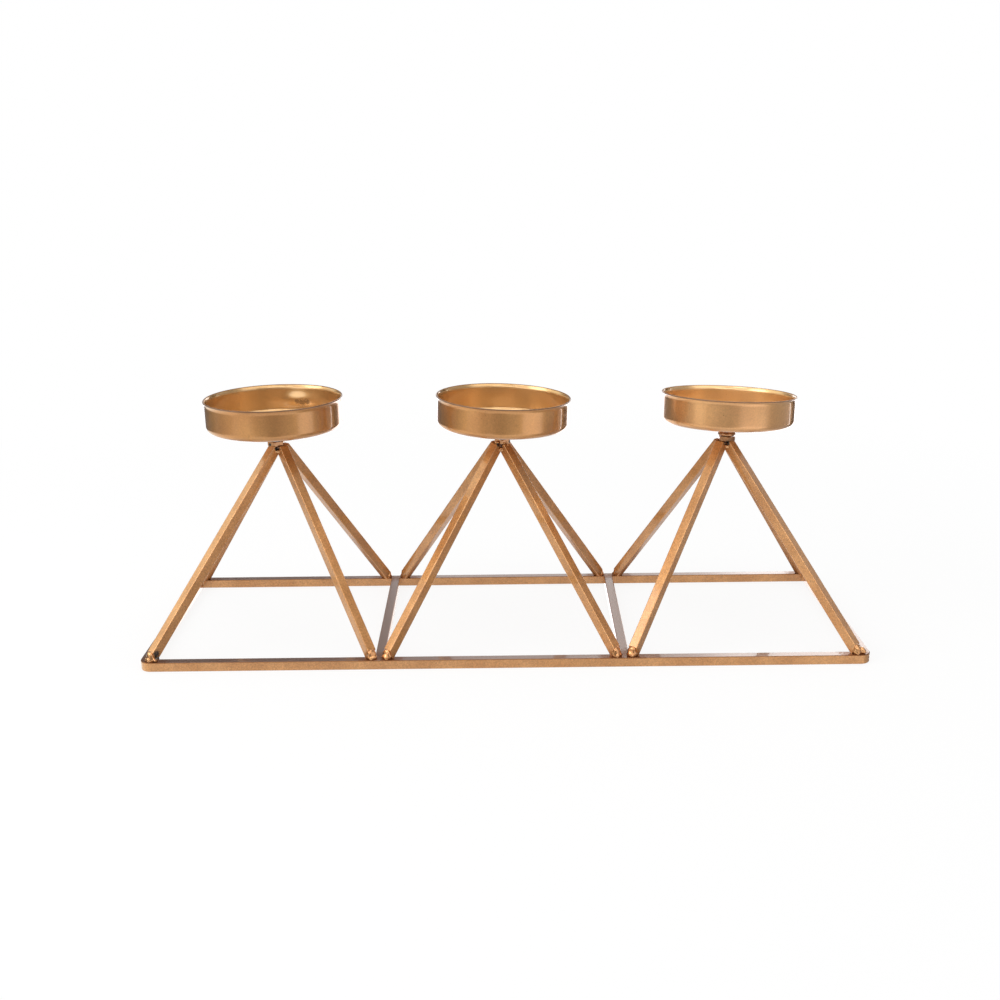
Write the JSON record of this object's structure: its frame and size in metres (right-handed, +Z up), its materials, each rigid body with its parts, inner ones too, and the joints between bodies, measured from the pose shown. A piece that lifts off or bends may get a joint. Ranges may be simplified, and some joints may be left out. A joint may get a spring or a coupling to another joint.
{
  "type": "pillar candle holder",
  "caption": "Low rectangular frame of square bar with four-legged pyramids welded on it, each topped by a round screw-on cup for a pillar candle.",
  "frame": {"origin": "middle of the base frame, on the surface it stands on", "axes": "+X along the frame to the right cup, +Y to the back, +Z up"},
  "size_m": [0.4524, 0.1494, 0.1589],
  "materials": {
    "base_paint": "metallic bronze-gold paint with a clear coat",
    "leg_paint": "metallic bronze-gold paint with a clear coat",
    "nut_paint": "metallic bronze-gold paint with a clear coat",
    "screw_paint": "metallic bronze-gold paint with a clear coat",
    "cup_paint": "metallic bronze-gold paint with a clear coat"
  },
  "bodies": {
    "stand": {"base_frame": "base_paint", "cross_bar_left": "base_paint", "cross_bar_right": "base_paint", "left_leg_front_left": "leg_paint", "left_leg_front_right": "leg_paint", "left_leg_rear_left": "leg_paint", "left_leg_rear_right": "leg_paint", "middle_leg_front_left": "leg_paint", "middle_leg_front_right": "leg_paint", "middle_leg_rear_left": "leg_paint", "middle_leg_rear_right": "leg_paint", "right_leg_front_left": "leg_paint", "right_leg_front_right": "leg_paint", "right_leg_rear_left": "leg_paint", "right_leg_rear_right": "leg_paint", "left_nut": "nut_paint", "middle_nut": "nut_paint", "right_nut": "nut_paint"},
    "left_riser": {"left_screw": "screw_paint"},
    "left_turning_cup": {"left_cup": "cup_paint"},
    "middle_riser": {"middle_screw": "screw_paint"},
    "middle_turning_cup": {"middle_cup": "cup_paint"},
    "right_riser": {"right_screw": "screw_paint"},
    "right_turning_cup": {"right_cup": "cup_paint"}
  },
  "joints": [
    {"name": "left_screw_rise", "type": "slide", "parent": "stand", "child": "left_riser", "axis": [-0.007, 0.0017, 1], "range_m": [-0.00031, 0.00321]},
    {"name": "left_cup_turn", "type": "hinge", "parent": "left_riser", "child": "left_turning_cup", "pos_m": [-0.14658, 0, 0.1246], "axis": [-0.007, 0.0017, 1], "range_deg": [-108, 1152]},
    {"name": "middle_screw_rise", "type": "slide", "parent": "stand", "child": "middle_riser", "axis": [0.0349, 0.0087, 0.9994], "range_m": [-0.00001, 0.00351]},
    {"name": "middle_cup_turn", "type": "hinge", "parent": "middle_riser", "child": "middle_turning_cup", "pos_m": [-0.00057, 0, 0.1246], "axis": [0.0349, 0.0087, 0.9994], "range_deg": [0, 1260]},
    {"name": "right_screw_rise", "type": "slide", "parent": "stand", "child": "right_riser", "axis": [0.0261, 0.0732, 0.997], "range_m": [-0.00021, 0.00331]},
    {"name": "right_cup_turn", "type": "hinge", "parent": "right_riser", "child": "right_turning_cup", "pos_m": [0.1445, 0, 0.1246], "axis": [0.0261, 0.0732, 0.997], "range_deg": [-72, 1188]}
  ],
  "couplings": [
    {"joint": "left_screw_rise", "follows": "left_cup_turn", "m_per_rad": 0.00015915},
    {"joint": "middle_screw_rise", "follows": "middle_cup_turn", "m_per_rad": 0.00015915},
    {"joint": "right_screw_rise", "follows": "right_cup_turn", "m_per_rad": 0.00015915}
  ]
}
